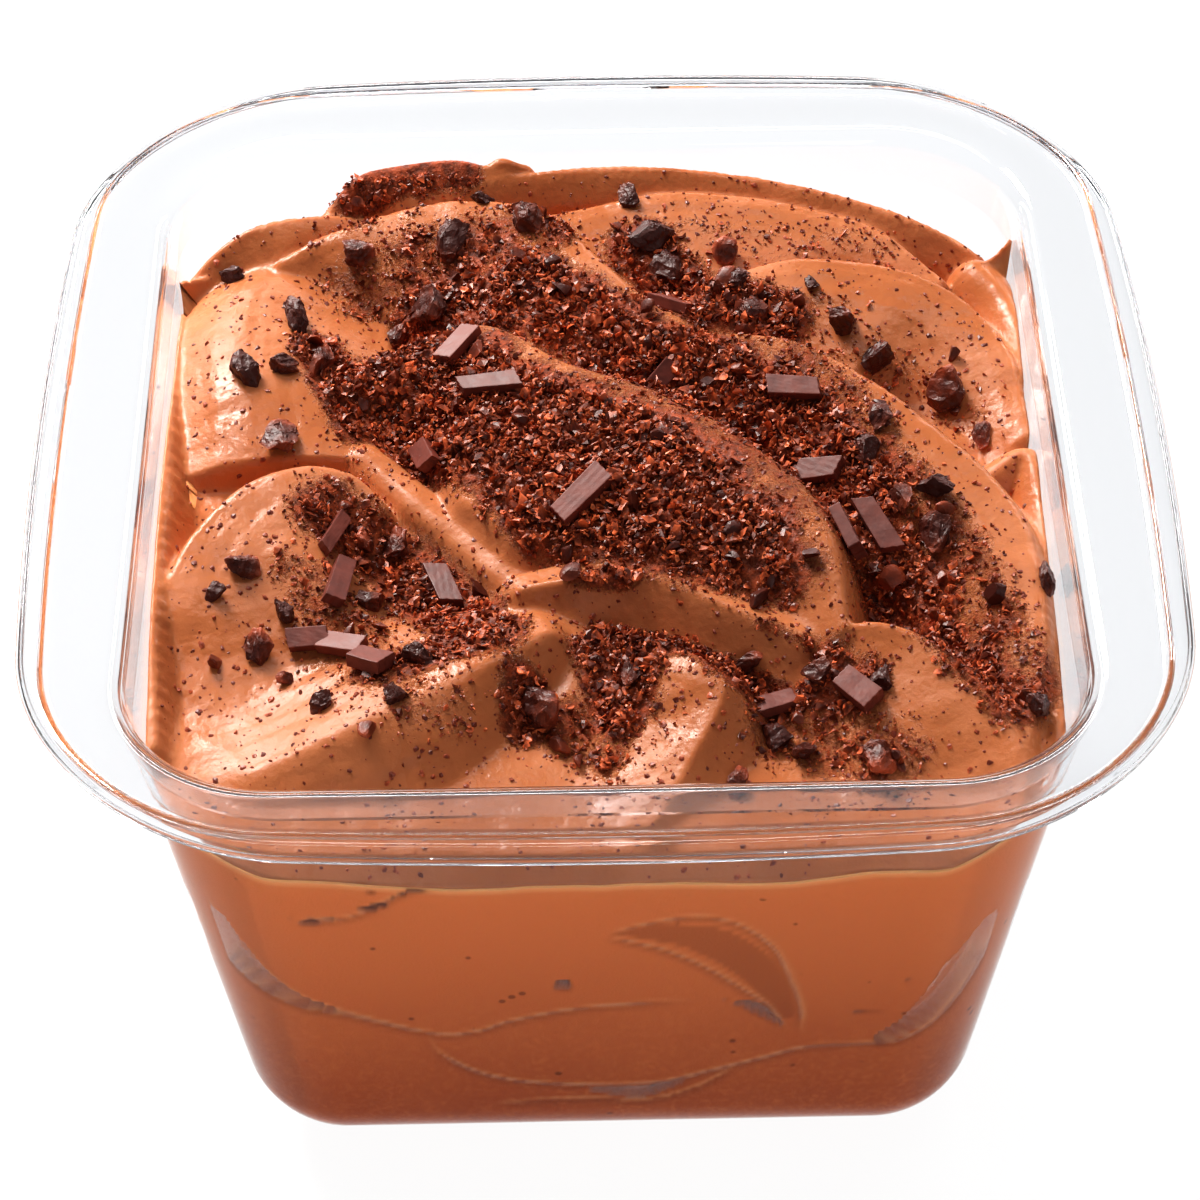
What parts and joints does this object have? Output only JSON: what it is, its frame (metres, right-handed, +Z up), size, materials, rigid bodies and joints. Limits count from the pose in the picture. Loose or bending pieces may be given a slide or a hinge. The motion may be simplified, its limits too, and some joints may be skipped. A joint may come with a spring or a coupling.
{
  "type": "chocolate mousse in a clear tub",
  "caption": "Chocolate mousse spooned in soft folds into a clear square plastic tub with a flat flange, a chilled dessert ready to eat.",
  "frame": {"origin": "middle of the tub's base, on the surface that it stands on", "axes": "+Z up, +X along the tub's width, +Y towards its back"},
  "size_m": [0.115, 0.1218, 0.0681],
  "materials": {
    "clear_plastic": "clear gloss",
    "chocolate_mousse": "moist satin"
  },
  "bodies": {
    "root": {"tub": "clear_plastic", "mousse": "chocolate_mousse"}
  },
  "joints": []
}
